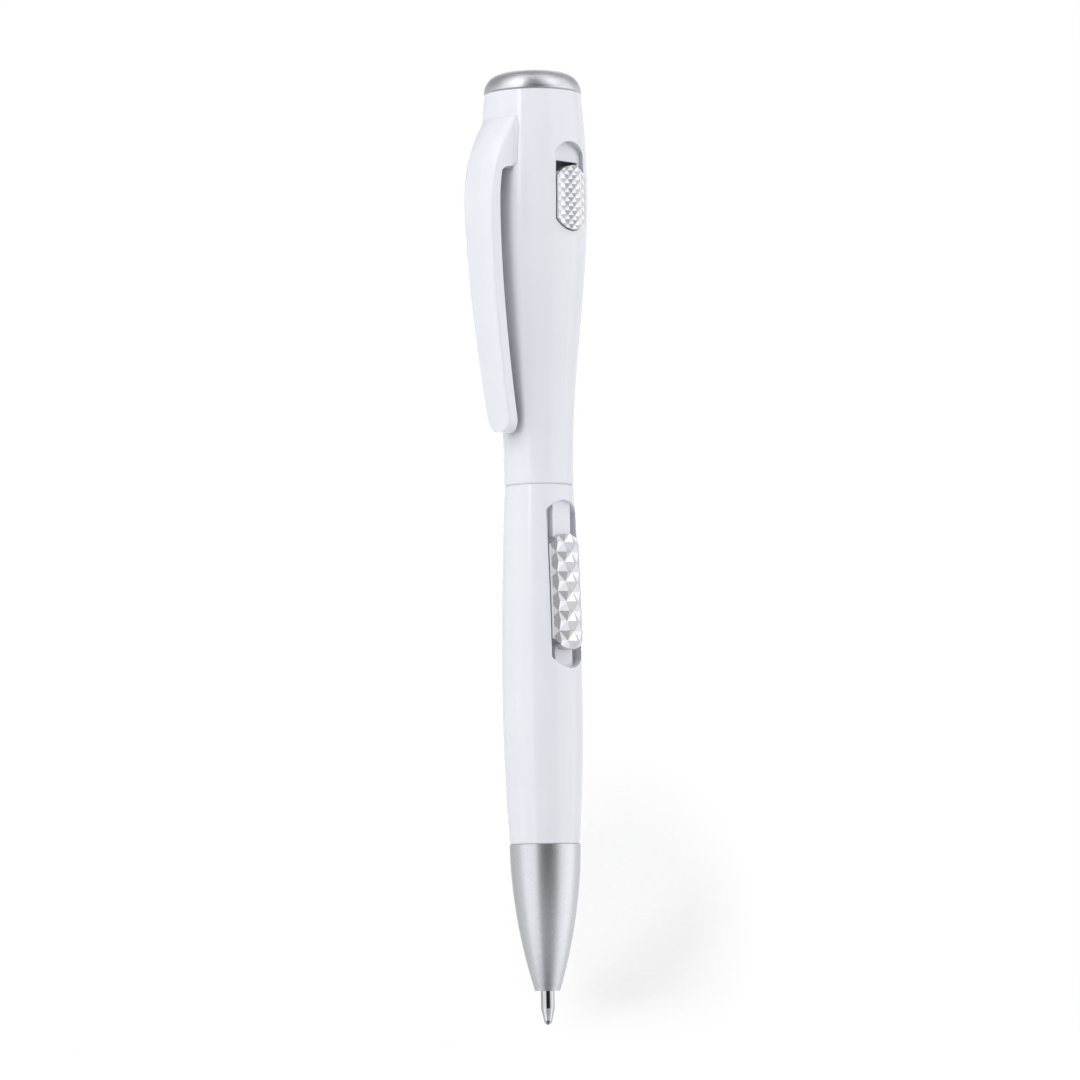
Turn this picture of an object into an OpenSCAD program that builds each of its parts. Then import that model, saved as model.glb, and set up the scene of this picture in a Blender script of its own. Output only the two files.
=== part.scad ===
// Slide-point pen with a torch in its head, upright on its writing ball.
// The pen's axis is Z, the clip faces -Y and both thumb slides face +X.

/* [Lengths] */
// Point that shows below the nose cone
point_out = 5.3; // [4:0.1:6.5]
// Length of the nose cone
nose_len = 22.8; // [21:0.1:27]
// Length of the lower barrel
lower_len = 56.4; // [54:0.1:62]
// Length of the upper barrel
upper_len = 62.1; // [60:0.1:66]
// Height of the bezel above the upper barrel
bezel_h = 3.4; // [3:0.1:4.5]

/* [Outline] */
// Diameter of the nose cone's mouth
mouth_d = 3.95; // [3.6:0.05:5]
// How far the nose cone swells past a straight taper
nose_swell = 0.83; // [0.4:0.01:1.2]
// Diameter at the seam of the nose cone
seam_d = 11.2; // [10.6:0.1:12]
// Diameter of the lower barrel's belly
belly_d = 12.8; // [11.8:0.02:13.4]
// Height of the belly above the nose cone's seam
belly_rise = 23; // [15:0.5:30]
// Diameter of the lower barrel at the barrel joint
joint_d = 11; // [10.6:0.1:12]
// Diameter of the upper barrel at the barrel joint
waist_d = 11.14; // [11:0.02:12]
// Length of the straight waist
waist_len = 3.5; // [1:0.1:6]
// Largest diameter of the head
head_d = 17.14; // [16.4:0.02:18.4]
// Distance of the widest place of the head below the rim
head_drop = 15.6; // [12:0.1:20]
// Diameter of the upper barrel's rim
rim_d = 15.7; // [15:0.1:16.4]
// Diameter of the bezel
bezel_d = 15.5; // [14.8:0.1:16]
// Rounding of the bezel's edge
bezel_round = 2.9; // [1:0.1:3.1]
// Height of the bezel's rounding
bezel_rise = 3.1; // [1:0.1:3.3]
// Broken edge at the seams between the barrel pieces
lip = 0.2; // [0.1:0.05:0.3]

/* [Barrel inside] */
// Bore of the lower barrel
bore_d = 8.7; // [8.5:0.05:8.9]
// Wall of the neck that joins the barrels
neck_wall = 0.57; // [0.45:0.01:0.65]
// Length of the neck
neck_len = 6.6; // [6:0.1:9]
// Bore of the lamp chamber in the head
chamber_d = 13.4; // [13:0.05:13.8]
// Length of the nose cone's spigot in the lower barrel
spigot_len = 6; // [4:0.1:8]

/* [Thumb slide] */
// Width of the slot
slot_w = 6.5; // [6:0.05:7]
// Length of the slot
slot_len = 26.5; // [24:0.1:28]
// Height of the slot's lower end above the nose cone's seam
slot_rise = 27.4; // [25:0.1:28]
// Radius of the slot's round ends
slot_end_r = 3.9; // [3.55:0.05:6]
// Travel up, which draws the point in
slide_up = 5.3; // [4:0.1:5.3]
// Travel down past the catch
slide_down = 2.8; // [1:0.1:2.8]
// Distance of the button's face from the axis at its lower end
thumb_low = 6.65; // [6.2:0.05:7]
// Distance of the button's face from the axis at its upper end
thumb_high = 6.05; // [5.7:0.05:6.6]
// Radius of the button's crown across the pen
thumb_crown = 8; // [5:0.1:12]
// Height of one pyramid of the grip along the pen
thumb_pitch = 3.1; // [2.4:0.1:4]
// Width of one pyramid of the grip across the pen
thumb_cross = 3; // [2.4:0.1:4]
// Relief of the thumb slide's pyramids
thumb_relief = 0.6; // [0.3:0.05:1]
// Wall of the carrier tube
carrier_wall = 0.8; // [0.6:0.05:1]
// Carrier tube above the slot
carrier_over = 0.8; // [0.4:0.1:2]
// Carrier tube below the slot
carrier_under = 6.5; // [6:0.1:8]
// Width of the guide rail along the middle of the slot
guide_w = 3.8; // [3.4:0.1:4]
// Distance of the guide rail's face from the axis
guide_face = 4.82; // [4.7:0.01:4.9]
// Diameter of the pegs under the button's legs
peg_d = 0.8; // [0.5:0.05:0.85]
// Distance between the button's pegs
peg_gap = 9; // [6:0.5:12]
// Width of the catch leaf
leaf_w = 2.2; // [1.6:0.1:2.4]
// Length of the catch leaf
leaf_len = 16; // [14:0.5:18]
// Thickness of the catch leaf
leaf_t = 0.25; // [0.15:0.05:0.3]
// Depth of the catch notches in the bore
notch_depth = 0.45; // [0.3:0.05:0.5]

/* [Refill] */
// Diameter of the writing ball
ball_d = 1; // [0.7:0.05:1.1]
// Diameter of the point's shank
shank_d = 2.2; // [2:0.05:2.4]
// Height of the shank's lower shoulder above the ball's end
shoulder_rise = 2.55; // [2:0.05:3.5]
// Height of the ink tube's lower end above the mouth
tube_rise = 6.2; // [6.2:0.1:7]
// Diameter of the ink tube
tube_d = 3; // [2.8:0.05:3.2]
// Wall of the ink tube
tube_wall = 0.55; // [0.45:0.05:0.6]
// Length of the ink tube
tube_len = 53.5; // [50:0.5:55]
// Length of the ink column
ink_len = 40; // [20:0.5:44]
// Length of the point's plug in the tube
plug_len = 4; // [3:0.1:6]
// Wall of the socket that holds the refill
socket_wall = 0.85; // [0.6:0.05:1]
// Length of the socket below the carrier's floor
socket_drop = 9.5; // [8:0.5:10]
// Coil diameter of the return spring, at the wire's middle
return_d = 3.9; // [3.7:0.05:4.1]
// Wire of the return spring
return_wire = 0.4; // [0.3:0.05:0.45]
// Turns of the return spring
return_turns = 14; // [8:1:18]

/* [Torch switch] */
// Width of the switch pocket
pocket_w = 6.2; // [5.8:0.05:6.6]
// Length of the switch pocket
pocket_len = 14.2; // [13.6:0.1:15]
// Distance of the pocket's upper end below the rim
pocket_drop = 8.2; // [7.2:0.1:8.4]
// Radius of the pocket's round ends
pocket_end_r = 3.6; // [3.35:0.05:6]
// Distance of the pocket's floor from the axis
pocket_floor = 7.25; // [7.1:0.05:7.4]
// Distance of the floor's inner face from the axis
floor_in = 5.9; // [5.8:0.05:6.1]
// Travel of the switch
switch_travel = 3.8; // [3:0.1:4]
// How far the switch's face stands out of the head
switch_proud = 0.1; // [0:0.05:0.6]
// Height of one pyramid of the switch's grip along the pen
switch_pitch = 1.42; // [1.2:0.02:2]
// Width of one pyramid of the switch's grip across the pen
switch_cross = 1.48; // [1.2:0.02:2]
// Relief of the switch's pyramids
switch_relief = 0.35; // [0.15:0.05:0.5]
// Width of the stem under the switch
stem_w = 3.8; // [3:0.1:4.2]
// Length of the stem under the switch
stem_len = 5.6; // [4:0.1:5.8]

/* [Torch] */
// Diameter of a button cell
cell_d = 7.9; // [7.8:0.05:8]
// Height of a button cell
cell_h = 3.6; // [3.4:0.05:3.8]
// Diameter of the lamp's body
led_d = 5; // [4.8:0.1:5.2]
// Diameter of the lamp's flange
led_flange_d = 5.8; // [5.6:0.1:6]
// Height of the lamp's flange
led_flange_h = 1; // [0.8:0.1:1.2]
// Thickness of the lamp's leads
lead_t = 0.5; // [0.4:0.05:0.6]
// Distance between the lamp's leads
lead_gap = 2.54; // [2.2:0.02:2.8]
// Diameter of the dish round the lamp
dish_d = 8.4; // [8:0.1:9]
// Diameter of the lamp carrier's stalk
stalk_d = 7.2; // [7:0.05:7.4]
// Diameter of the wire well in the stalk
well_d = 4.6; // [4.2:0.05:4.8]
// Thickness of the carrier's top disc
disc_t = 1.6; // [1.2:0.1:2]
// Depth of the bezel's spigot in the head
bezel_spigot = 3.9; // [3.6:0.1:4.2]
// Thickness of the contact strips
strip_t = 0.25; // [0.2:0.05:0.3]
// Width of the contact strips
strip_w = 2; // [1.6:0.1:2.4]
// Thickness of the neck plug's rim
plug_t = 0.8; // [0.6:0.1:1.2]
// Coil diameter of the battery spring, at the wire's middle
battery_coil_d = 5.4; // [5:0.1:6]
// Wire of the battery spring
battery_wire = 0.5; // [0.4:0.05:0.6]
// Length of the battery spring in the pen
battery_spring_len = 6; // [5:0.1:7]
// Turns of the battery spring
battery_turns = 4; // [3:1:5]

/* [Clip] */
// Thickness of the clip
clip_t = 2.05; // [1.4:0.05:2.1]
// Distance of the clip's crest from the axis
clip_reach = 12.8; // [12:0.05:13.4]
// Distance of the clip's lower end from the axis, outside
clip_tail = 8.6; // [8.3:0.05:9]
// Distance of the clip's root below the rim
clip_root_drop = 4.3; // [3.6:0.1:4.8]
// Length of the clip from its root to its lower end
clip_len = 49.8; // [44:0.1:51]
// Distance of the clip's crest below its root
clip_crest_drop = 13.4; // [12:0.1:18]
// Distance of the gap's top below the root
clip_gap_drop = 8; // [7:0.1:9.5]
// Width of the clip at its root
clip_root_w = 7.4; // [6:0.1:8]
// Width of the clip at its crest
clip_crest_w = 6.5; // [5.4:0.1:7]
// Width of the clip near its lower end
clip_end_w = 4.8; // [3.6:0.1:5]
// Rounding of the clip's long edges
clip_edge = 0.45; // [0.2:0.05:0.7]
// Crown of the clip's outer face
clip_crown = 0.25; // [0.1:0.05:0.5]
// Fillet where the clip's root meets the head
clip_fillet = 0.5; // [0.2:0.05:0.7]
// Depth of the clip's tenon in the head
tenon_depth = 1.1; // [0.6:0.1:1.2]
// Length of the clip's tenon
tenon_len = 4; // [3:0.1:5]
// Width of the clip's tenon
tenon_w = 3.6; // [3:0.1:4.2]

/* [Clearances] */
// Gap of a fixed fit, on each side
fit_gap = 0.05; // [0.03:0.01:0.08]
// Gap of a sliding fit, on each side
run_gap = 0.12; // [0.08:0.01:0.2]
// Gap left at the ends of a slide's travel
stop_gap = 0.1; // [0.05:0.05:0.2]

/* [Hidden] */

$fn = 96;
white = [0.93, 0.93, 0.95];
satin = [0.72, 0.72, 0.73];
bright = [0.82, 0.83, 0.85];
brass = [0.80, 0.66, 0.36];
black = [0.08, 0.08, 0.09];
yellow = [0.90, 0.74, 0.20];

// Heights along the pen
z_lower = point_out + nose_len;
z_joint = z_lower + lower_len;
z_rim = z_joint + upper_len;
z_top = z_rim + bezel_h;
z_belly = z_lower + belly_rise;
z_waist = z_joint + waist_len;
z_head = z_rim - head_drop;

// Barrel fits
bore_r = bore_d / 2;
neck_r = bore_r + neck_wall;
cell_bore_r = cell_d / 2 + 4 * fit_gap;
chamber_r = chamber_d / 2;
z_neck = z_joint + neck_len;
z_plug_top = z_neck + plug_t;
z_cell_low = z_plug_top + strip_t + battery_spring_len;
z_cell_top = z_cell_low + 3 * cell_h;
z_cells = z_cell_top + 1.6;
z_chamber = z_cells + 5;

// Thumb slide
carrier_r = bore_r - run_gap;
carrier_in = carrier_r - carrier_wall;
z_slot = z_lower + slot_rise;
z_slot_top = z_slot + slot_len;
z_thumb = z_slot + slide_down + stop_gap;
thumb_len = slot_len - slide_down - slide_up - 2 * stop_gap;
thumb_w = slot_w - 2 * run_gap;
thumb_end_r = slot_end_r - run_gap;
z_peg = z_thumb + thumb_len / 2;
guide_half = guide_w / 2;
peg_y = (guide_half + run_gap + thumb_w / 2) / 2;
peg_low = 0.75 * carrier_in;
z_carrier = z_slot - carrier_under;
z_carrier_top = z_slot_top + carrier_over;
leaf_half = leaf_w / 2;
leaf_seat = sqrt(carrier_in * carrier_in - leaf_half * leaf_half);
leaf_bow = sqrt(pow(bore_r + notch_depth - fit_gap, 2) - leaf_half * leaf_half);
leaf_ride = sqrt(bore_r * bore_r - leaf_half * leaf_half) - fit_gap;
leaf_nose = 0.9;
leaf_window = leaf_len - 3.5;

// Refill
tube_r = tube_d / 2;
tube_in = tube_r - tube_wall;
z_tube = point_out + tube_rise;
z_tube_top = z_tube + tube_len;
socket_r = tube_r + fit_gap;
socket_out = socket_r + socket_wall;
z_socket = z_carrier - socket_drop;
z_spring_seat = z_tube + 1.3;

// Switch
z_pocket = z_rim - pocket_drop - pocket_len;
z_switch = z_pocket + stop_gap;
switch_len = pocket_len - switch_travel - 2 * stop_gap;
switch_w = pocket_w - 2 * run_gap;
switch_end_r = pocket_end_r - run_gap;
switch_face = head_d / 2 + switch_proud;
z_stem = z_switch + 1.4;
window_w = stem_w + 0.8;
window_len = stem_len + switch_travel + 0.5;
plate_out = floor_in - stop_gap;
strip_in = cell_bore_r + fit_gap;
strip_out = strip_in + strip_t;
leaf_in = strip_out + fit_gap;
plate_in = leaf_in + strip_t;
plate_w = 6.2;
z_plate = z_switch - 0.5;
plate_len = z_stem + window_len - z_plate;
switch_leaf_len = 6;
z_switch_leaf = z_plate + 0.2;

// Torch
stalk_r = stalk_d / 2;
well_r = well_d / 2;
z_led = z_rim - bezel_spigot;
z_disc = z_led - disc_t;
z_lamp_arm = z_disc - 1.6;
led_body_h = z_top - 0.5 - led_d / 2 - z_led;
lens_well_r = lead_gap / 2 + lead_t / 2 + 0.3;
cup_r = lead_gap / 2 - lead_t / 2 - 0.15;
cup_floor_r = 0.6 * cup_r;
z_cup = z_led + 1.6;
z_cup_floor = z_cup + 0.35;
z_cup_top = z_cup + 0.9;

// Clip
z_clip_root = z_rim - clip_root_drop;
z_clip_end = z_clip_root - clip_len;
z_clip_crest = z_clip_root - clip_crest_drop;
z_clip_gap = z_clip_root - clip_gap_drop;
gap_round = 0.9;
z_tenon = (z_clip_gap + z_clip_root - tenon_len) / 2 - 0.3;

function blend(t) = t * t * (3 - 2 * t);
function mix(a, b, t) = a + (b - a) * t;
function steps(a, b, n) = [for (i = [0:n]) mix(a, b, i / n)];

// Outer radius of each barrel piece at a height
function nose_r(z) =
    let (t = (z - point_out) / nose_len)
    mix(mouth_d, seam_d, t) / 2 + 4 * nose_swell * t * (1 - t);

function lower_r(z) =
    let (end_d = z < z_belly ? seam_d : joint_d,
         span = z < z_belly ? belly_rise : lower_len - belly_rise,
         t = (z - z_belly) / span)
    mix(belly_d, end_d, t * t) / 2;

function upper_r(z) =
    z < z_waist ? waist_d / 2
    : z < z_head ? mix(waist_d, head_d, blend((z - z_waist) / (z_head - z_waist))) / 2
    : mix(head_d, rim_d, pow((z - z_head) / (z_rim - z_head), 2)) / 2;

// Outline of the upper barrel
function upper_outline() =
    concat([[0, z_joint], [upper_r(z_joint) - lip, z_joint]],
           [for (z = concat([z_joint + lip], steps(z_waist, z_head, 24), steps(z_head, z_rim, 8)))
               [upper_r(z), z]],
           [[0, z_rim]]);

module revolve(points) {
    rotate_extrude() polygon(points);
}

module rod(r, z0, z1) {
    translate([0, 0, z0]) cylinder(r = r, h = z1 - z0);
}

// Box between two corners
module span(from, to) {
    translate(from) cube(to - from);
}

// A flat shape drawn in Y and Z, extruded along X
module facing(x0, x1) {
    translate([x0, 0, 0]) rotate([90, 0, 90]) linear_extrude(x1 - x0) children();
}

// A slot with straight sides and shallow round ends, from a height upward
module slot_shape(w, len, end_r, z0) {
    sag = end_r - sqrt(end_r * end_r - w * w / 4);
    translate([-w / 2, z0 + sag]) square([w, len - 2 * sag]);
    for (z = [z0 + end_r, z0 + len - end_r])
        intersection() {
            translate([0, z]) circle(end_r);
            translate([-w / 2, z0]) square([w, len]);
        }
}

// A closed skin over rings of points, each ring counterclockwise seen from the last one
module skin(rings) {
    n = len(rings[0]);
    rows = len(rings);
    function at(i, j) = i * n + j % n;
    sides = [for (i = [0:rows - 2], j = [0:n - 1])
        let (a = at(i, j), b = at(i, j + 1), c = at(i + 1, j + 1), d = at(i + 1, j))
        each (i + j) % 2 == 0 ? [[a, d, c], [a, c, b]] : [[a, d, b], [d, c, b]]];
    caps = [[for (j = [0:n - 1]) j], [for (j = [n - 1:-1:0]) at(rows - 1, j)]];
    polyhedron([for (ring = rings) each ring], concat(sides, caps));
}

// Rings of a coil that climbs from z0 to z1, wire included
function coil_centre(d, wire, turns, z0, z1, k) =
    let (a = 45 * k)
    [d / 2 * cos(a), d / 2 * sin(a), mix(z0 + wire / 2, z1 - wire / 2, k / (8 * turns))];

function coil_ring(d, wire, turns, z0, z1, k) =
    let (c = coil_centre(d, wire, turns, z0, z1, k), a = 45 * k)
    [for (b = [0:60:300])
        c + wire / 2 * [cos(b) * cos(a), cos(b) * sin(a), -sin(b)]];

module coil(label, d, wire, turns, z0, z1) {
    points = [for (k = [0:8 * turns]) coil_centre(d, wire, turns, z0, z1, k)];
    gap = min([for (i = [0:8 * turns - 5], j = [i + 5:min(i + 12, 8 * turns)])
        norm(points[i] - points[j]) - wire]);
    echo(str(label, ": least gap between turns ", gap, " mm"));
    skin([for (k = [0:8 * turns]) coil_ring(d, wire, turns, z0, z1, k)]);
}

// A crowned face of rhombic pyramids over the height z0 to z1, down to the distance base.
// The face lies at low at its lower end and at high at its upper end.
module pyramid_face(base, low, high, crown, w, z0, z1, pitch, cross, relief) {
    rows = 2 * ceil((z1 - z0) / pitch);
    cols = 2 * ceil(w / cross) - 1;
    half = cols * cross / 4;
    mid = (z0 + z1) / 2;
    function fall(y) = crown - sqrt(crown * crown - y * y);
    skin([for (i = [0:rows])
        let (z = mid + (i - rows / 2) * pitch / 2,
             face = mix(low, high, (z - z0) / (z1 - z0)))
        concat([[base, -half, z]],
               [for (j = [0:cols])
                   let (y = -half + j * cross / 2)
                   [face - fall(y) + ((i + j) % 2 == 0 ? relief * (1 - pow(y / half, 2)) : 0), y, z]],
               [[base, half, z]])]);
}

// Outer distance and half width of the clip at a height
function clip_out(z) =
    z < z_clip_crest
    ? mix(clip_reach, clip_tail, pow((z_clip_crest - z) / (z_clip_crest - z_clip_end), 1.7))
    : mix(clip_reach, upper_r(z_clip_root) + fit_gap + 0.1,
          pow((z - z_clip_crest) / (z_clip_root - z_clip_crest), 2.2));

function clip_half(z) =
    let (straight = z < z_clip_crest
             ? mix(clip_end_w, clip_crest_w, (z - z_clip_end) / (z_clip_crest - z_clip_end))
             : mix(clip_crest_w, clip_root_w, (z - z_clip_crest) / (z_clip_root - z_clip_crest)),
         t = min(1, (z - z_clip_end) / (clip_end_w / 2)))
    straight / 2 * (0.25 + 0.75 * sqrt(1 - (1 - t) * (1 - t)));

// Crown of the outer face at a height: round as the barrel at the root, nearly flat below
function clip_bulge(z) =
    let (r = upper_r(z_clip_root), w = clip_root_w / 2,
         t = max(0, (z - z_clip_crest) / (z_clip_root - z_clip_crest)))
    mix(clip_crown * min(1, clip_half(z) / w), r - sqrt(r * r - w * w), t);

// Inner distance of the clip: flat over the gap, round against the barrel at the root
function clip_in(x, z) =
    let (start = z_clip_gap - gap_round,
         flat = clip_out(z) - clip_t,
         r = upper_r(z) + fit_gap,
         root = sqrt(r * r - x * x),
         t = min(1, max(0, (z - start) / gap_round)))
    mix(root, flat, sqrt(1 - t * t));

// Outline of the clip at a height: crowned face, rounded edges, sides that flare at the root
function clip_ring(z) =
    let (w = clip_half(z), bulge = clip_bulge(z), out = clip_out(z) - bulge,
         foot = clip_in(w, z),
         e = min(clip_edge, (out - foot) * 0.45, w * 0.6),
         f = min(clip_fillet, (out - foot) * 0.4),
         flare = f * min(1, max(0, (z - z_clip_gap) / clip_fillet)))
    concat([for (a = [60, 30, 0]) [-w - flare * (1 - cos(a)), f * (sin(a) - 1) - foot, z]],
           [for (a = [180, 225, 270]) [e - w + e * cos(a), e - out + e * sin(a), z]],
           [for (x = [-0.75:0.25:0.75]) [x * (w - e), -out - bulge * (1 - x * x), z]],
           [for (a = [270, 315, 360]) [w - e + e * cos(a), e - out + e * sin(a), z]],
           [for (a = [0, 30, 60]) [w + flare * (1 - cos(a)), f * (sin(a) - 1) - foot, z]],
           [for (k = [1:-0.25:-1]) let (x = k * (w + flare)) [x, -clip_in(x, z), z]]);

// Section of the fillet on the head below the clip's root
function foot_ring(x) =
    let (r = upper_r(z_clip_gap) + fit_gap + 0.02, y = -sqrt(r * r - x * x), f = clip_fillet)
    concat([[x, y, z_clip_gap - f], [x, y, z_clip_gap + 0.2], [x, y - f, z_clip_gap + 0.2]],
           [for (a = [90:-15:0]) [x, y - max(0.06, f * (1 - cos(a))), z_clip_gap - f * (1 - sin(a))]]);

function clip_heights() =
    let (round_top = z_clip_end + clip_end_w / 2)
    concat([for (a = [0:15:75]) z_clip_end + clip_end_w / 2 * (1 - cos(a))],
           steps(round_top, z_clip_crest, 14),
           [for (z = steps(z_clip_crest, z_clip_gap - gap_round, 4)) if (z > z_clip_crest) z],
           [for (a = [15:15:90]) z_clip_gap - gap_round * (1 - sin(a))],
           [z_clip_gap + clip_fillet / 2],
           [for (z = steps(z_clip_gap + clip_fillet, z_clip_root, 8)) z]);

module tenon(gap) {
    face = upper_r(z_tenon);
    span([-tenon_w / 2 - gap, -face - 0.6, z_tenon - gap],
         [tenon_w / 2 + gap, tenon_depth - face - fit_gap + gap, z_tenon + tenon_len + gap]);
}

module upper_barrel() {
    color(white) difference() {
        revolve(upper_outline());
        rod(neck_r + fit_gap, z_joint - 1, z_plug_top + fit_gap);
        rod(cell_bore_r, z_joint, z_cells + 1);
        difference() {
            revolve([[0, z_cells], [cell_bore_r, z_cells], [chamber_r, z_chamber],
                     [chamber_r, z_rim + 1], [0, z_rim + 1]]);
            span([floor_in, -chamber_r, z_pocket - 3],
                 [head_d, chamber_r, z_disc]);
        }
        span([cell_bore_r - 1, -strip_w / 2 - fit_gap, z_plug_top],
             [strip_out + 2 * fit_gap, strip_w / 2 + fit_gap, z_chamber]);
        facing(pocket_floor, head_d) slot_shape(pocket_w, pocket_len, pocket_end_r, z_pocket);
        span([floor_in - 1, -window_w / 2, z_stem - 0.3],
             [pocket_floor + 1, window_w / 2, z_stem - 0.3 + window_len]);
        tenon(fit_gap);
    }
}

module lower_barrel() {
    color(white) difference() {
        union() {
            revolve(concat([[0, z_lower], [lower_r(z_lower) - lip, z_lower]],
                           [for (z = concat([z_lower + lip], steps(z_lower + 2, z_belly, 7),
                                            steps(z_belly, z_joint - 1, 14), [z_joint - lip]))
                               [lower_r(z), z]],
                           [[lower_r(z_joint) - lip, z_joint], [0, z_joint]]));
            rod(neck_r, z_joint - 1, z_neck);
        }
        rod(bore_r, z_lower - 1, z_neck + 1);
        difference() {
            facing(0, belly_d) slot_shape(slot_w, slot_len, slot_end_r, z_slot);
            span([-1, -guide_half, z_slot - 1], [guide_face, guide_half, z_slot_top + 1]);
        }
        for (z = [z_peg, z_peg + slide_up])
            translate([0, 0, z]) span([-bore_r - notch_depth, -leaf_half - 0.3, -1.1],
                                      [0, leaf_half + 0.3, 1.1]);
    }
}

module pocket_clip() {
    color(white) {
        skin([for (z = clip_heights()) clip_ring(z)]);
        skin([for (x = steps(0.1 - clip_half(z_clip_gap), clip_half(z_clip_gap) - 0.1, 8)) foot_ring(x)]);
        tenon(0);
    }
}

module nose_cone() {
    color(satin) difference() {
        union() {
            revolve(concat([[0, point_out]],
                           [for (z = steps(point_out, z_lower, 16)) [nose_r(z), z]],
                           [[0, z_lower]]));
            rod(bore_r - fit_gap, z_lower - 1, z_lower + spigot_len);
        }
        rod(shank_d / 2 + run_gap, point_out - 1, z_tube);
        rod(tube_r + 2 * run_gap, z_tube - slide_down - stop_gap, z_spring_seat + 1);
        rod(return_d / 2 + return_wire / 2 + 2 * run_gap, z_spring_seat, z_lower);
        rod(socket_out + 4 * run_gap, z_lower - 4, z_lower + spigot_len + 1);
    }
}

module bezel() {
    spigot_r = chamber_r - fit_gap;
    r = bezel_d / 2;
    lamp_r = led_d / 2 + 2 * fit_gap;
    color(satin) rotate_extrude() difference() {
        union() {
            translate([0, z_led]) square([spigot_r, bezel_spigot]);
            polygon(concat([[0, z_rim], [r - lip, z_rim]],
                           [for (a = [0:7.5:90]) [r - bezel_round * (1 - cos(a)),
                                                  z_top - bezel_rise * (1 - sin(a))]],
                           [[0, z_top]]));
        }
        polygon([[0, z_top + 1], [dish_d / 2 + 0.5, z_top + 1], [dish_d / 2, z_top - 0.3],
                 [lamp_r, z_rim - 0.6], [lamp_r, z_led - 1], [0, z_led - 1]]);
        translate([0, z_led - 1]) square([led_flange_d / 2 + fit_gap, 1 + led_flange_h + fit_gap]);
    }
}

module lamp_carrier() {
    color(black) difference() {
        union() {
            rod(stalk_r, z_cells - 1, z_disc + 0.5);
            rod(cell_bore_r - fit_gap, z_cell_top + strip_t, z_cells);
            rod(chamber_r - fit_gap, z_disc, z_led);
        }
        rod(well_r, z_cell_top, z_disc);
        for (side = [-1, 1])
            translate([side * lead_gap / 2, 0, z_disc - 1]) lead_hole(disc_t + 2);
        span([0, -strip_w / 2 - fit_gap, z_lamp_arm - fit_gap],
             [stalk_r + 1, strip_w / 2 + fit_gap, z_lamp_arm + strip_t + fit_gap]);
    }
}

module lead_hole(h) {
    w = lead_t + 2 * fit_gap;
    translate([-w / 2, -w / 2, 0]) cube([w, w, h]);
}

module led_lamp() {
    color(bright) difference() {
        union() {
            rod(led_flange_d / 2, z_led, z_led + led_flange_h);
            rod(led_d / 2, z_led, z_led + led_body_h);
            intersection() {
                translate([0, 0, z_led + led_body_h]) sphere(d = led_d);
                rod(led_d, z_led + led_body_h - 0.1, z_top);
            }
        }
        rod(lens_well_r, z_led - 1, z_cup_top + 0.4);
    }
}

module lead(x, z_low, z_high) {
    span([x - lead_t / 2, -lead_t / 2, z_low], [x + lead_t / 2, lead_t / 2, z_high]);
}

module led_leads() {
    color(bright) {
        lead(-lead_gap / 2, z_cell_top + strip_t, z_cup_floor);
        lead(lead_gap / 2, z_lamp_arm + strip_t, z_cup_top);
        span([-lead_gap / 2, -lead_t / 2, z_cup], [-cup_floor_r, lead_t / 2, z_cup_floor - 0.05]);
        revolve([[0, z_cup], [cup_r, z_cup], [cup_r, z_cup_top], [cup_r - 0.1, z_cup_top],
                 [cup_floor_r, z_cup_floor], [0, z_cup_floor]]);
    }
}

module lamp_die() {
    color(yellow) rod(cup_floor_r - 0.1, z_cup_floor, z_cup_floor + 0.25);
}

module positive_contact() {
    color(brass) rod(cell_bore_r - 4 * fit_gap, z_cell_top, z_cell_top + strip_t);
}

module lamp_contact() {
    color(brass) {
        span([lead_gap / 2 - lead_t / 2, -strip_w / 2, z_lamp_arm],
             [strip_out, strip_w / 2, z_lamp_arm + strip_t]);
        span([strip_in, -strip_w / 2, z_switch_leaf + switch_leaf_len + 1],
             [strip_out, strip_w / 2, z_lamp_arm + strip_t]);
    }
}

module negative_contact() {
    color(brass) {
        rod(battery_coil_d / 2 + battery_wire, z_plug_top, z_plug_top + strip_t);
        span([0, -strip_w / 2, z_plug_top], [strip_out, strip_w / 2, z_plug_top + strip_t]);
        span([strip_in, -strip_w / 2, z_plug_top],
             [strip_out, strip_w / 2, z_switch_leaf + switch_leaf_len - 1]);
    }
}

// One button cell: the can below and the narrower cap above its sealing ring
module cell(i) {
    z0 = z_cell_low + i * cell_h;
    color(bright) revolve([[0, z0], [cell_d / 2 - 0.9, z0], [cell_d / 2 - 0.9, z0 + 0.5],
                           [cell_d / 2, z0 + 0.8], [cell_d / 2, z0 + cell_h], [0, z0 + cell_h]]);
}

module cell_1() { cell(0); }
module cell_2() { cell(1); }
module cell_3() { cell(2); }

module battery_spring() {
    color(bright) coil("battery spring", battery_coil_d, battery_wire, battery_turns,
                       z_plug_top + strip_t, z_cell_low);
}

module neck_plug() {
    color(black) {
        rod(bore_r - fit_gap, z_neck - 1.2, z_neck + 0.1);
        rod(neck_r, z_neck, z_plug_top);
    }
}

module switch_button() {
    color(bright) {
        intersection() {
            facing(pocket_floor + stop_gap, head_d)
                slot_shape(switch_w, switch_len, switch_end_r, z_switch);
            pyramid_face(pocket_floor - 1, switch_face, switch_face, 0.85 * head_d, pocket_w,
                         z_switch, z_switch + switch_len, switch_pitch, switch_cross,
                         switch_relief);
        }
        span([plate_in, -stem_w / 2, z_stem],
             [pocket_floor + 0.6, stem_w / 2, z_stem + stem_len]);
    }
}

module switch_plate() {
    color(black) difference() {
        span([plate_in, -plate_w / 2, z_plate], [plate_out, plate_w / 2, z_plate + plate_len]);
        span([plate_in - 1, -stem_w / 2 - fit_gap, z_stem - fit_gap],
             [plate_out + 1, stem_w / 2 + fit_gap, z_stem + stem_len + fit_gap]);
    }
}

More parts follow.
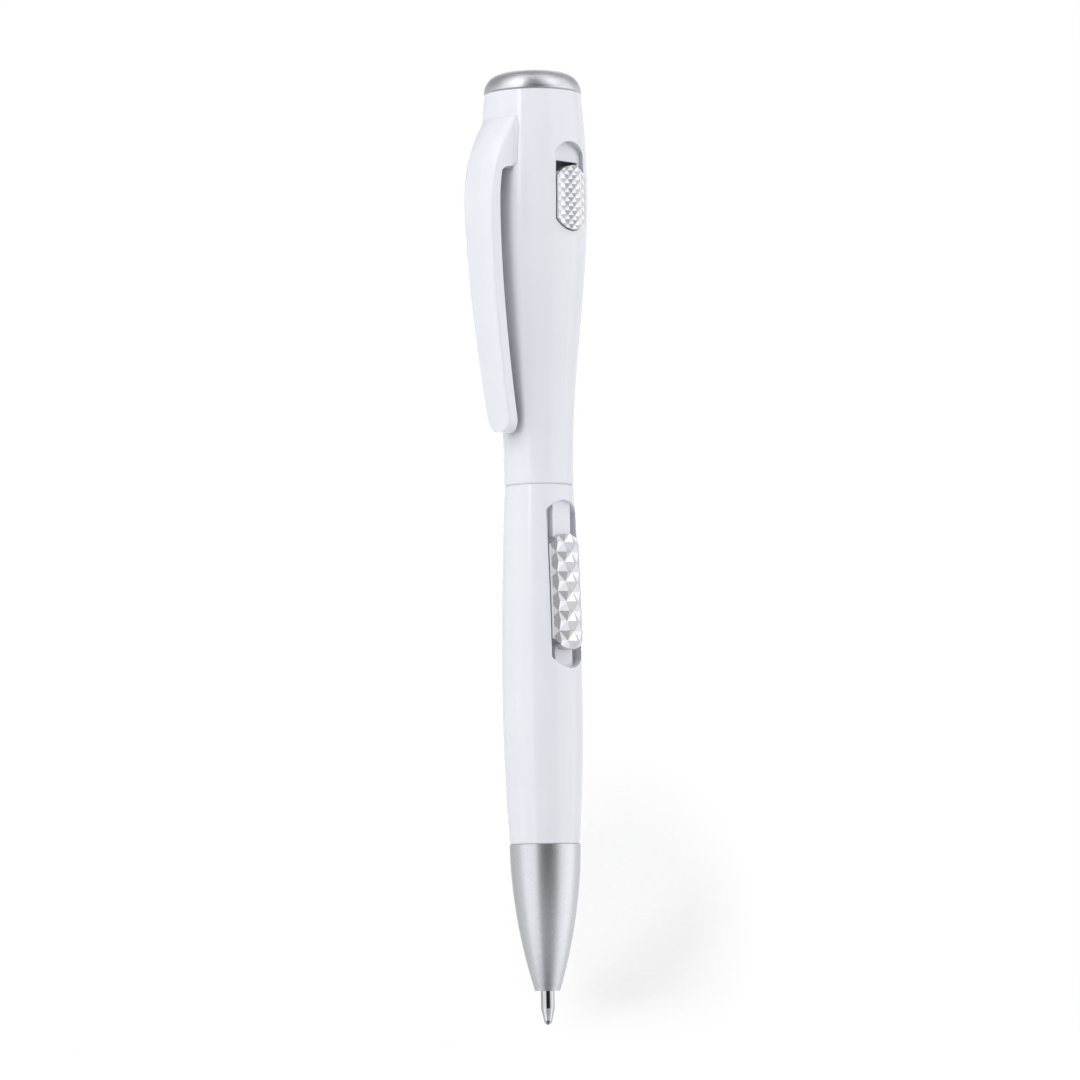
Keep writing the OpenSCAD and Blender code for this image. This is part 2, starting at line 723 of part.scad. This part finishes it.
module switch_leaf() {
    color(brass) span([leaf_in, -strip_w / 2, z_switch_leaf],
                      [plate_in, strip_w / 2, z_switch_leaf + switch_leaf_len]);
}

module pegs(r, x0, x1) {
    for (y = [-peg_y, peg_y], z = [z_peg - peg_gap / 2, z_peg + peg_gap / 2])
        translate([x0, y, z]) rotate([0, 90, 0]) cylinder(r = r, h = x1 - x0, $fn = 32);
}

module thumb_button() {
    color(bright) {
        difference() {
            intersection() {
                facing(carrier_r * 0.5, belly_d)
                    slot_shape(thumb_w, thumb_len, thumb_end_r, z_thumb);
                pyramid_face(carrier_r * 0.4, thumb_low, thumb_high, thumb_crown, slot_w,
                             z_thumb, z_thumb + thumb_len, thumb_pitch, thumb_cross, thumb_relief);
            }
            rod(carrier_r + fit_gap, z_slot, z_slot_top);
            span([0, -guide_half - run_gap, z_slot],
                 [guide_face + run_gap, guide_half + run_gap, z_slot_top]);
        }
        pegs(peg_d / 2, peg_low, thumb_high - 1);
    }
}

module slide_carrier() {
    color(white) difference() {
        union() {
            rod(carrier_r, z_carrier, z_carrier_top);
            rod(socket_out, z_socket, z_carrier + 1);
        }
        difference() {
            rod(carrier_in, z_carrier + 1.5, z_carrier_top + 1);
            rod(socket_out, z_carrier, z_tube_top + 1.5);
        }
        rod(socket_r, z_socket - 1, z_tube_top);
        pegs(peg_d / 2 + fit_gap, peg_low - fit_gap, carrier_r + 1);
        span([-carrier_r - 1, -leaf_half - 0.3, z_peg - leaf_window / 2],
             [-socket_out - 0.1, leaf_half + 0.3, z_peg + leaf_window / 2]);
    }
}

// Spring leaf inside the carrier that bows through its window into a notch of the bore
function leaf_x(z) =
    let (d = abs(z - z_peg),
         t = min(1, (d - leaf_nose) / (leaf_window / 2 - 0.6 - leaf_nose)))
    d < leaf_nose ? -mix(leaf_bow, leaf_ride, d / leaf_nose)
    : -mix(leaf_ride, leaf_seat - fit_gap, blend(t));

module catch_leaf() {
    heights = concat(steps(z_peg - leaf_len / 2, z_peg - leaf_nose, 14), [z_peg],
                     steps(z_peg + leaf_nose, z_peg + leaf_len / 2, 14));
    color(bright) translate([0, leaf_half, 0]) rotate([90, 0, 0]) linear_extrude(leaf_w)
        polygon(concat([for (z = heights) [leaf_x(z), z]],
                       [for (i = [len(heights) - 1:-1:0]) [leaf_x(heights[i]) + leaf_t, heights[i]]]));
}

module refill_tube() {
    color(white) difference() {
        rod(tube_r, z_tube, z_tube_top);
        rod(tube_in, z_tube - 1, z_tube_top + 1);
    }
}

module ink_column() {
    z0 = z_tube + plug_len + fit_gap;
    color([0.05, 0.10, 0.45]) rod(tube_in - fit_gap, z0, z0 + ink_len);
}

module refill_point() {
    ball_r = ball_d / 2;
    color(bright) difference() {
        revolve([[0, 0.3 * ball_d], [0.56 * ball_d, 0.3 * ball_d], [0.66 * ball_d, 0.65 * ball_d],
                 [shank_d / 2, shoulder_rise], [shank_d / 2, z_tube],
                 [tube_in - fit_gap, z_tube], [tube_in - fit_gap, z_tube + plug_len],
                 [0, z_tube + plug_len]]);
        translate([0, 0, ball_r]) sphere(r = ball_r + fit_gap / 2);
        rod(0.3 * ball_d, ball_r, z_tube + plug_len + 1);
    }
}

module writing_ball() {
    color(bright) translate([0, 0, ball_d / 2]) sphere(d = ball_d);
}

module return_spring() {
    color(bright) coil("return spring", return_d, return_wire, return_turns,
                       z_spring_seat, z_socket);
}

upper_barrel();
lower_barrel();
pocket_clip();
nose_cone();
bezel();
lamp_carrier();
led_lamp();
led_leads();
lamp_die();
positive_contact();
lamp_contact();
negative_contact();
cell_1();
cell_2();
cell_3();
battery_spring();
neck_plug();
switch_button();
switch_plate();
switch_leaf();
thumb_button();
slide_carrier();
catch_leaf();
refill_tube();
ink_column();
refill_point();
writing_ball();
return_spring();
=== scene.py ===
"""Looks of a flashlight pen: materials, soft studio light and the photograph's camera."""

import math

import bpy
from mathutils import Matrix, Vector

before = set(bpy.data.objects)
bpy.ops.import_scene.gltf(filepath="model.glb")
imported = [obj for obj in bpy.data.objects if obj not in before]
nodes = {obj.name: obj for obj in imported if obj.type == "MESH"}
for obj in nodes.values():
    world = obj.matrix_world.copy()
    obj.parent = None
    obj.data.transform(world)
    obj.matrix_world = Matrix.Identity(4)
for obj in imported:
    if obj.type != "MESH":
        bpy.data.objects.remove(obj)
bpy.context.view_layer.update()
scene = bpy.context.scene

EVEN = (1, 1, 1)  # a pattern that isn't stretched
UP = Vector((0, 0, 1))
CAMERA_BEARING = math.radians(-45)  # in the XY plane, seen from the pen
PEN_TOP = 0.15


# Node helpers. Textures use object coordinates, in metres, so a pattern moves with its piece.

def empty_material(name):
    mat = bpy.data.materials.new(name)
    mat.use_nodes = True
    mat.node_tree.nodes.clear()
    return mat, mat.node_tree


def show(tree, shader):
    out = tree.nodes.new("ShaderNodeOutputMaterial")
    tree.links.new(shader, out.inputs["Surface"])


def principled(name):
    mat, tree = empty_material(name)
    bsdf = tree.nodes.new("ShaderNodeBsdfPrincipled")
    show(tree, bsdf.outputs[0])
    return mat, tree, bsdf


def coords(tree, stretch=EVEN, offset=(0, 0, 0)):
    coord = tree.nodes.new("ShaderNodeTexCoord")
    mapping = tree.nodes.new("ShaderNodeMapping")
    mapping.inputs["Scale"].default_value = stretch
    mapping.inputs["Location"].default_value = offset
    tree.links.new(coord.outputs["Object"], mapping.inputs["Vector"])
    return mapping.outputs[0]


def noise(tree, scale, detail=2.0, stretch=EVEN):
    node = tree.nodes.new("ShaderNodeTexNoise")
    node.inputs["Scale"].default_value = scale
    node.inputs["Detail"].default_value = detail
    tree.links.new(coords(tree, stretch), node.inputs["Vector"])
    return node.outputs[0]


def ramp(tree, value, stops):
    """Colour over value. A stop is (position, colour), with one number for a grey."""
    node = tree.nodes.new("ShaderNodeValToRGB")
    ends = node.color_ramp.elements
    while len(ends) < len(stops):
        ends.new(0.5)
    for end, (at, colour) in zip(ends, stops):
        end.position = at
        end.color = (*colour, 1) if isinstance(colour, tuple) else (colour, colour, colour, 1)
    tree.links.new(value, node.inputs[0])
    return node.outputs[0]


def mixed_colour(tree, factor, first, second, blend="MIX"):
    """Two colours mixed. The factor is a socket or a number, the second a socket or a colour."""
    node = tree.nodes.new("ShaderNodeMix")
    node.data_type = "RGBA"
    node.blend_type = blend
    for value, socket in ((factor, "Factor"), (first, "A"), (second, "B")):
        if isinstance(value, (float, tuple)):
            node.inputs[socket].default_value = value
        else:
            tree.links.new(value, node.inputs[socket])
    return node.outputs["Result"]


def mixed_shader(tree, factor, first, second):
    node = tree.nodes.new("ShaderNodeMixShader")
    for value, socket in zip((factor, first, second), node.inputs):
        tree.links.new(value, socket)
    return node.outputs[0]


def bump(tree, bsdf, height, strength, depth):
    node = tree.nodes.new("ShaderNodeBump")
    node.inputs["Strength"].default_value = strength
    node.inputs["Distance"].default_value = depth
    tree.links.new(height, node.inputs["Height"])
    tree.links.new(node.outputs[0], bsdf.inputs["Normal"])


# Materials

def white_gloss(name, painted_gap_shade):
    """Glossy moulded plastic: slow tint drift, faint orange peel, and painted shade in its narrow gaps.
    """
    mat, tree, bsdf = principled(name)
    drift = ramp(tree, noise(tree, 70), [(0.3, (0.850, 0.853, 0.908)), (0.7, (0.875, 0.878, 0.926))])
    # Painted shade: ambient occlusion darkens the base colour in narrow gaps and seams, down to the
    # given factor.
    nook = tree.nodes.new("ShaderNodeAmbientOcclusion")
    nook.samples = 8
    nook.inputs["Distance"].default_value = 0.004
    shade = ramp(tree, nook.outputs["AO"], [(0.20, painted_gap_shade), (0.75, 1.0)])
    gloss = ramp(tree, noise(tree, 420, 3.0), [(0.3, 0.07), (0.7, 0.11)])
    tree.links.new(mixed_colour(tree, 1.0, drift, shade, "MULTIPLY"), bsdf.inputs["Base Color"])
    tree.links.new(gloss, bsdf.inputs["Roughness"])
    bump(tree, bsdf, noise(tree, 900, 1.0), 0.10, 4e-6)
    return mat


def surface(name, dark, pale, grain, rough, gloss_grain, detail=2.0, spread=(0.3, 0.7),
            stretch=EVEN, gloss_stretch=EVEN, relief=0.0, depth=1e-5, **sockets):
    """Two close colours over one grain, which is also its relief, and two gloss levels over another."""
    mat, tree, bsdf = principled(name)
    pattern = noise(tree, grain, detail, stretch)
    colour = ramp(tree, pattern, list(zip(spread, (dark, pale))))
    gloss = ramp(tree, noise(tree, gloss_grain, 2.0, gloss_stretch), list(zip((0.3, 0.7), rough)))
    tree.links.new(colour, bsdf.inputs["Base Color"])
    tree.links.new(gloss, bsdf.inputs["Roughness"])
    for socket, value in sockets.items():
        bsdf.inputs[socket.replace("_", " ")].default_value = value
    if relief:
        bump(tree, bsdf, pattern, relief, depth)
    return mat


def inner(name, dark, pale, rough, grain, stretch=EVEN, **more):
    """A surface inside the pen, whose gloss varies more slowly than its grain."""
    return surface(name, dark, pale, grain, rough, grain * 0.37, 3.0, (0.35, 0.65),
                   stretch, stretch, **more)


# Both whites carry painted gap shade: strong on the upper barrel and clip, faint on the lower barrel
# and its inner parts.
white = white_gloss("white_gloss_abs", 0.56)
sleeve = white_gloss("white_gloss_sleeve", 0.92)
satin = surface("satin_silver_paint", (0.545, 0.55, 0.578), (0.64, 0.645, 0.675), 5200,
                (0.34, 0.40), 2600, relief=0.12, Metallic=1.0)
plate = surface("bright_silver_plate", (0.60, 0.60, 0.625), (0.68, 0.68, 0.705), 6500,
                (0.29, 0.36), 1800, relief=0.12, depth=8e-6, Metallic=1.0)
nickel = surface("turned_nickel", (0.455, 0.457, 0.465), (0.53, 0.532, 0.54), 400,
                 (0.06, 0.11), 900, stretch=(1, 1, 60), gloss_stretch=(1, 1, 12),
                 relief=0.10, depth=5e-6, Metallic=1.0)
epoxy = surface("clear_epoxy", (0.93, 0.94, 0.95), (0.98, 0.985, 0.99), 800,
                (0.02, 0.06), 500, Transmission_Weight=1.0, IOR=1.53)
steel = inner("drawn_spring_steel", (0.46, 0.46, 0.47), (0.60, 0.60, 0.61), (0.18, 0.28), 2500,
              (1, 1, 0.2), relief=0.10, Metallic=1.0)
brass = inner("rolled_brass", (0.62, 0.45, 0.20), (0.75, 0.57, 0.28), (0.22, 0.34), 3000,
              (1, 1, 0.15), relief=0.08, Metallic=1.0)
black = inner("black_moulded", (0.012, 0.012, 0.013), (0.024, 0.024, 0.026), (0.38, 0.52), 3500,
              relief=0.25, depth=1.5e-5)
cell_nickel = inner("brushed_cell_can", (0.58, 0.575, 0.56), (0.72, 0.715, 0.70), (0.22, 0.34), 1500,
                    (1, 1, 0.05), relief=0.06, Metallic=1.0)
tin = inner("tinned_wire", (0.62, 0.62, 0.62), (0.76, 0.76, 0.755), (0.25, 0.38), 2500,
            (1, 1, 0.2), relief=0.08, Metallic=1.0)
tube = inner("ink_tube", (0.72, 0.75, 0.77), (0.80, 0.82, 0.84), (0.22, 0.34), 900,
             Transmission_Weight=0.55, IOR=1.5)
phosphor = inner("lamp_phosphor", (0.74, 0.56, 0.10), (0.88, 0.70, 0.17), (0.40, 0.55), 6000,
                 relief=0.2)
ink = inner("blue_ink", (0.010, 0.020, 0.16), (0.018, 0.034, 0.24), (0.12, 0.22), 700)

looks = {
    white: ["upper_barrel", "pocket_clip"],
    sleeve: ["lower_barrel", "slide_carrier", "neck_plug"],
    satin: ["nose_cone", "bezel"],
    plate: ["switch_button", "thumb_button"],
    nickel: ["refill_point", "writing_ball"],
    epoxy: ["led_lamp"],
    tin: ["led_leads"],
    phosphor: ["lamp_die"],
    steel: ["return_spring", "battery_spring", "catch_leaf"],
    brass: ["positive_contact", "lamp_contact", "negative_contact", "switch_leaf"],
    black: ["lamp_carrier", "switch_plate"],
    cell_nickel: ["cell_1", "cell_2", "cell_3"],
    tube: ["refill_tube"],
    ink: ["ink_column"],
}
SHARP_ANGLE = 28
OWN_SHARP_ANGLE = {"switch_button": 20, "thumb_button": 20, "pocket_clip": 32}
for mat, names in looks.items():
    for name in names:
        piece = nodes[name].data
        piece.materials.clear()
        piece.materials.append(mat)
        piece.shade_smooth()
        piece.set_sharp_from_angle(angle=math.radians(OWN_SHARP_ANGLE.get(name, SHARP_ANGLE)))


# Camera: the photograph's low eye, looking up along the pen, with its slight roll

eye = Vector((0.590, -0.590, 0.006))
aim = Vector((0, 0, 0.07603))
roll = math.radians(0.975)
forward = (aim - eye).normalized()
level = forward.cross(UP).normalized()
plumb = level.cross(forward)
right = level * math.cos(roll) - plumb * math.sin(roll)
top = plumb * math.cos(roll) + level * math.sin(roll)
lens = bpy.data.cameras.new("camera")
lens.lens = 177.3
lens.sensor_width = 36
lens.clip_start = 0.01
camera = bpy.data.objects.new("camera", lens)
turn = Matrix((right, top, -forward)).transposed()
camera.matrix_world = Matrix.Translation(eye) @ turn.to_4x4()
scene.collection.objects.link(camera)
scene.camera = camera


# Light: tall soft boxes either side of the camera and behind, two above, a key for the shadow, and a
# pale room that is dark behind the camera

def direction(bearing):
    """Level direction from the pen, in degrees to the right of the camera."""
    angle = math.radians(bearing) + CAMERA_BEARING
    return Vector((math.cos(angle), math.sin(angle), 0))


def soft_box(name, bearing, distance, size, centre, radiance, mirrored=True):
    """A lamp at a bearing, with its centre's height and its face's radiance."""
    data = bpy.data.lights.new(name, "AREA")
    data.shape = "RECTANGLE"
    data.size, data.size_y = size
    data.energy = radiance * math.pi * size[0] * size[1]
    data.color = (0.985, 0.985, 1.0)
    lamp = bpy.data.objects.new(name, data)
    lamp.location = direction(bearing) * distance + UP * centre
    inward = UP * min(centre, PEN_TOP) - lamp.location
    lamp.rotation_euler = inward.to_track_quat("-Z", "Y").to_euler()
    lamp.visible_camera = False
    lamp.visible_glossy = mirrored
    scene.collection.objects.link(lamp)


soft_box("soft_box_left", -55, 0.75, (0.82, 1.4), 0.28, 0.80)
soft_box("soft_box_edge", -34, 0.72, (0.16, 1.4), 0.28, 0.45)
soft_box("soft_box_crest", -31, 0.70, (0.09, 0.55), 0.46, 2.4)
soft_box("soft_box_right", 75, 0.75, (1.0, 1.4), 0.28, 0.72)
soft_box("soft_box_top_left", -44, 0.52, (0.46, 0.85), 0.80, 1.14)
soft_box("soft_box_top_right", 48, 0.52, (0.52, 0.85), 0.80, 1.02)
soft_box("soft_box_back", 180, 0.80, (0.6, 1.2), 0.35, 0.8)
soft_box("soft_box_key", -30, 0.80, (0.22, 0.22), 0.70, 3.1, mirrored=False)

world = bpy.data.worlds.new("studio")
scene.world = world
world.use_nodes = True
tree = world.node_tree
tree.nodes.clear()
view = tree.nodes.new("ShaderNodeTexCoord").outputs["Generated"]
spin = tree.nodes.new("ShaderNodeMapping")
spin.vector_type = "POINT"
spin.inputs["Rotation"].default_value = (0, 0, -CAMERA_BEARING)
tree.links.new(view, spin.inputs["Vector"])
gradient = tree.nodes.new("ShaderNodeTexGradient")
gradient.gradient_type = "RADIAL"
tree.links.new(spin.outputs[0], gradient.inputs["Vector"])
around = gradient.outputs["Fac"]  # by bearing, 0.5 at the camera
split = tree.nodes.new("ShaderNodeSeparateXYZ")
tree.links.new(view, split.inputs[0])
lift = tree.nodes.new("ShaderNodeMapRange")
lift.inputs["From Min"].default_value = -1.0
tree.links.new(split.outputs["Z"], lift.inputs["Value"])
height = lift.outputs[0]  # 0 straight down, 0.5 level, 1 straight up

walls = ramp(tree, around, [
    (0.0, 0.80), (0.12, 0.72), (0.25, 0.88), (0.40, 0.38), (0.47, 0.03), (0.56, 0.03),
    (0.64, 0.52), (0.75, 0.92), (0.88, 0.98), (1.0, 0.80)])
low = ramp(tree, height, [(0.23, 0.0), (0.29, 0.95), (0.345, 0.95), (0.39, 0.28), (0.44, 0.0)])
misty = mixed_colour(tree, low, walls, (0.94, 0.94, 0.96, 1))
deep = ramp(tree, height, [(0.215, 1.0), (0.255, 0.0)])
ground = ramp(tree, around, [
    (0.0, 0.50), (0.25, 0.55), (0.44, 0.12), (0.555, 0.12), (0.655, 0.75), (0.85, 0.75),
    (1.0, 0.50)])
grounded = mixed_colour(tree, deep, misty, ground)
high = ramp(tree, height, [(0.60, 0.0), (0.74, 0.75)])
room = mixed_colour(tree, high, grounded, (0.30, 0.30, 0.31, 1))

lit = tree.nodes.new("ShaderNodeBackground")
tree.links.new(room, lit.inputs["Color"])
plain = tree.nodes.new("ShaderNodeBackground")
plain.inputs["Color"].default_value = (1, 1, 1, 1)
plain.inputs["Strength"].default_value = 1.0
path = tree.nodes.new("ShaderNodeLightPath")
through = mixed_shader(tree, path.outputs["Is Transmission Ray"], lit.outputs[0], plain.outputs[0])
seen = mixed_shader(tree, path.outputs["Is Camera Ray"], through, plain.outputs[0])
world_out = tree.nodes.new("ShaderNodeOutputWorld")
tree.links.new(seen, world_out.inputs["Surface"])


# Floor and backdrop: both are pale and shadowed near the pen and fade into the white background

FLOOR_Z = -0.00285  # just below the point's lowest reach
SHEET_HALF = 3.0
FLOOR_REACH = 1 / 2.2  # radius of the floor's shadowed part
SLOPE = math.radians(25)
PATCH_CENTRE = (0.0138, 0.050)  # the slope's shadowed part, across and up the slope; it takes the real cast shadow and is also painted a faint grey shade
PATCH_RADIUS = (0.0205, 0.068)
FOOT_FADE = 0.018  # the slope's foot fades over this length


def pale_sheet(tree, albedo, glow_strength):
    """A matt sheet, and the same with a glow of its own."""
    matt = tree.nodes.new("ShaderNodeBsdfDiffuse")
    tree.links.new(ramp(tree, noise(tree, 900, 3.0), list(zip((0.3, 0.7), albedo))), matt.inputs[0])
    glow = tree.nodes.new("ShaderNodeEmission")
    glow.inputs["Strength"].default_value = glow_strength
    bright = tree.nodes.new("ShaderNodeAddShader")
    tree.links.new(matt.outputs[0], bright.inputs[0])
    tree.links.new(glow.outputs[0], bright.inputs[1])
    return matt.outputs[0], bright.outputs[0]


def spot(tree, place, stops):
    """A round patch, 0 at its rim and 1 at its centre, with that value set by stops."""
    node = tree.nodes.new("ShaderNodeTexGradient")
    node.gradient_type = "SPHERICAL"
    tree.links.new(place, node.inputs["Vector"])
    return ramp(tree, node.outputs["Fac"], stops)


def pale_floor():
    mat, tree = empty_material("pale_floor")
    matt, near = pale_sheet(tree, (0.80, 0.83), 0.275)
    sky = tree.nodes.new("ShaderNodeEmission").outputs[0]
    fade = spot(tree, coords(tree, (1 / FLOOR_REACH,) * 3), [(0.05, 0.0), (0.75, 1.0)])
    path = tree.nodes.new("ShaderNodeLightPath")
    show(tree, mixed_shader(tree, path.outputs["Is Camera Ray"], matt,
                            mixed_shader(tree, fade, sky, near)))
    return mat


def shadow_slope():
    """Seen from its front alone. Inside its patch it is painted a faint grey shade, besides the cast
    shadow it takes.
    """
    mat, tree = empty_material("shadow_slope")
    # Painted shade: the near look sits at about 0.95, a faint grey under the real cast shadow, while
    # outside the patch the sheet glows pure white.
    _, near = pale_sheet(tree, (0.36, 0.38), 0.588)
    sky = tree.nodes.new("ShaderNodeEmission").outputs[0]
    stretch = (1 / PATCH_RADIUS[0], 1 / PATCH_RADIUS[1], 1)
    offset = (-PATCH_CENTRE[0] / PATCH_RADIUS[0], -PATCH_CENTRE[1] / PATCH_RADIUS[1], 0)
    shadow_and_painted_shade_patch = spot(tree, coords(tree, stretch, offset), [(0.0, 0.0), (0.5, 1.0)])
    place = tree.nodes.new("ShaderNodeSeparateXYZ")
    tree.links.new(coords(tree), place.inputs[0])
    foot = tree.nodes.new("ShaderNodeMapRange")
    foot.inputs["From Max"].default_value = FOOT_FADE
    tree.links.new(place.outputs["Y"], foot.inputs["Value"])
    fade = tree.nodes.new("ShaderNodeMath")
    fade.operation = "MULTIPLY"
    tree.links.new(shadow_and_painted_shade_patch, fade.inputs[0])
    tree.links.new(foot.outputs[0], fade.inputs[1])
    face = tree.nodes.new("ShaderNodeNewGeometry")
    gone = tree.nodes.new("ShaderNodeBsdfTransparent").outputs[0]
    show(tree, mixed_shader(tree, face.outputs["Backfacing"],
                            mixed_shader(tree, fade.outputs[0], sky, near), gone))
    return mat


def sheet(name, near_edge, mat):
    """A flat sheet in its own XY plane that begins at near_edge."""
    mesh = bpy.data.meshes.new(name)
    far = SHEET_HALF
    mesh.from_pydata([(-far, near_edge, 0), (far, near_edge, 0), (far, far, 0), (-far, far, 0)],
                     [], [(0, 1, 2, 3)])
    mesh.materials.append(mat)
    obj = bpy.data.objects.new(name, mesh)
    obj.visible_glossy = False
    scene.collection.objects.link(obj)
    return obj


floor = sheet("floor", -SHEET_HALF, pale_floor())
floor.location.z = FLOOR_Z

# The backdrop rises from the floor behind the point and takes the pen's faint cast shadow, which the
# low camera can't see on the floor, and around it a painted faint grey shade. It is there for the
# camera alone.
backdrop = sheet("backdrop", 0, shadow_slope())
across = direction(90)
away = direction(180) * math.cos(SLOPE) + UP * math.sin(SLOPE)
lean = Matrix((across, away, across.cross(away))).transposed()
backdrop.matrix_world = Matrix.Translation(UP * FLOOR_Z) @ lean.to_4x4()
backdrop.visible_diffuse = backdrop.visible_transmission = backdrop.visible_shadow = False

scene.view_settings.view_transform = "Standard"
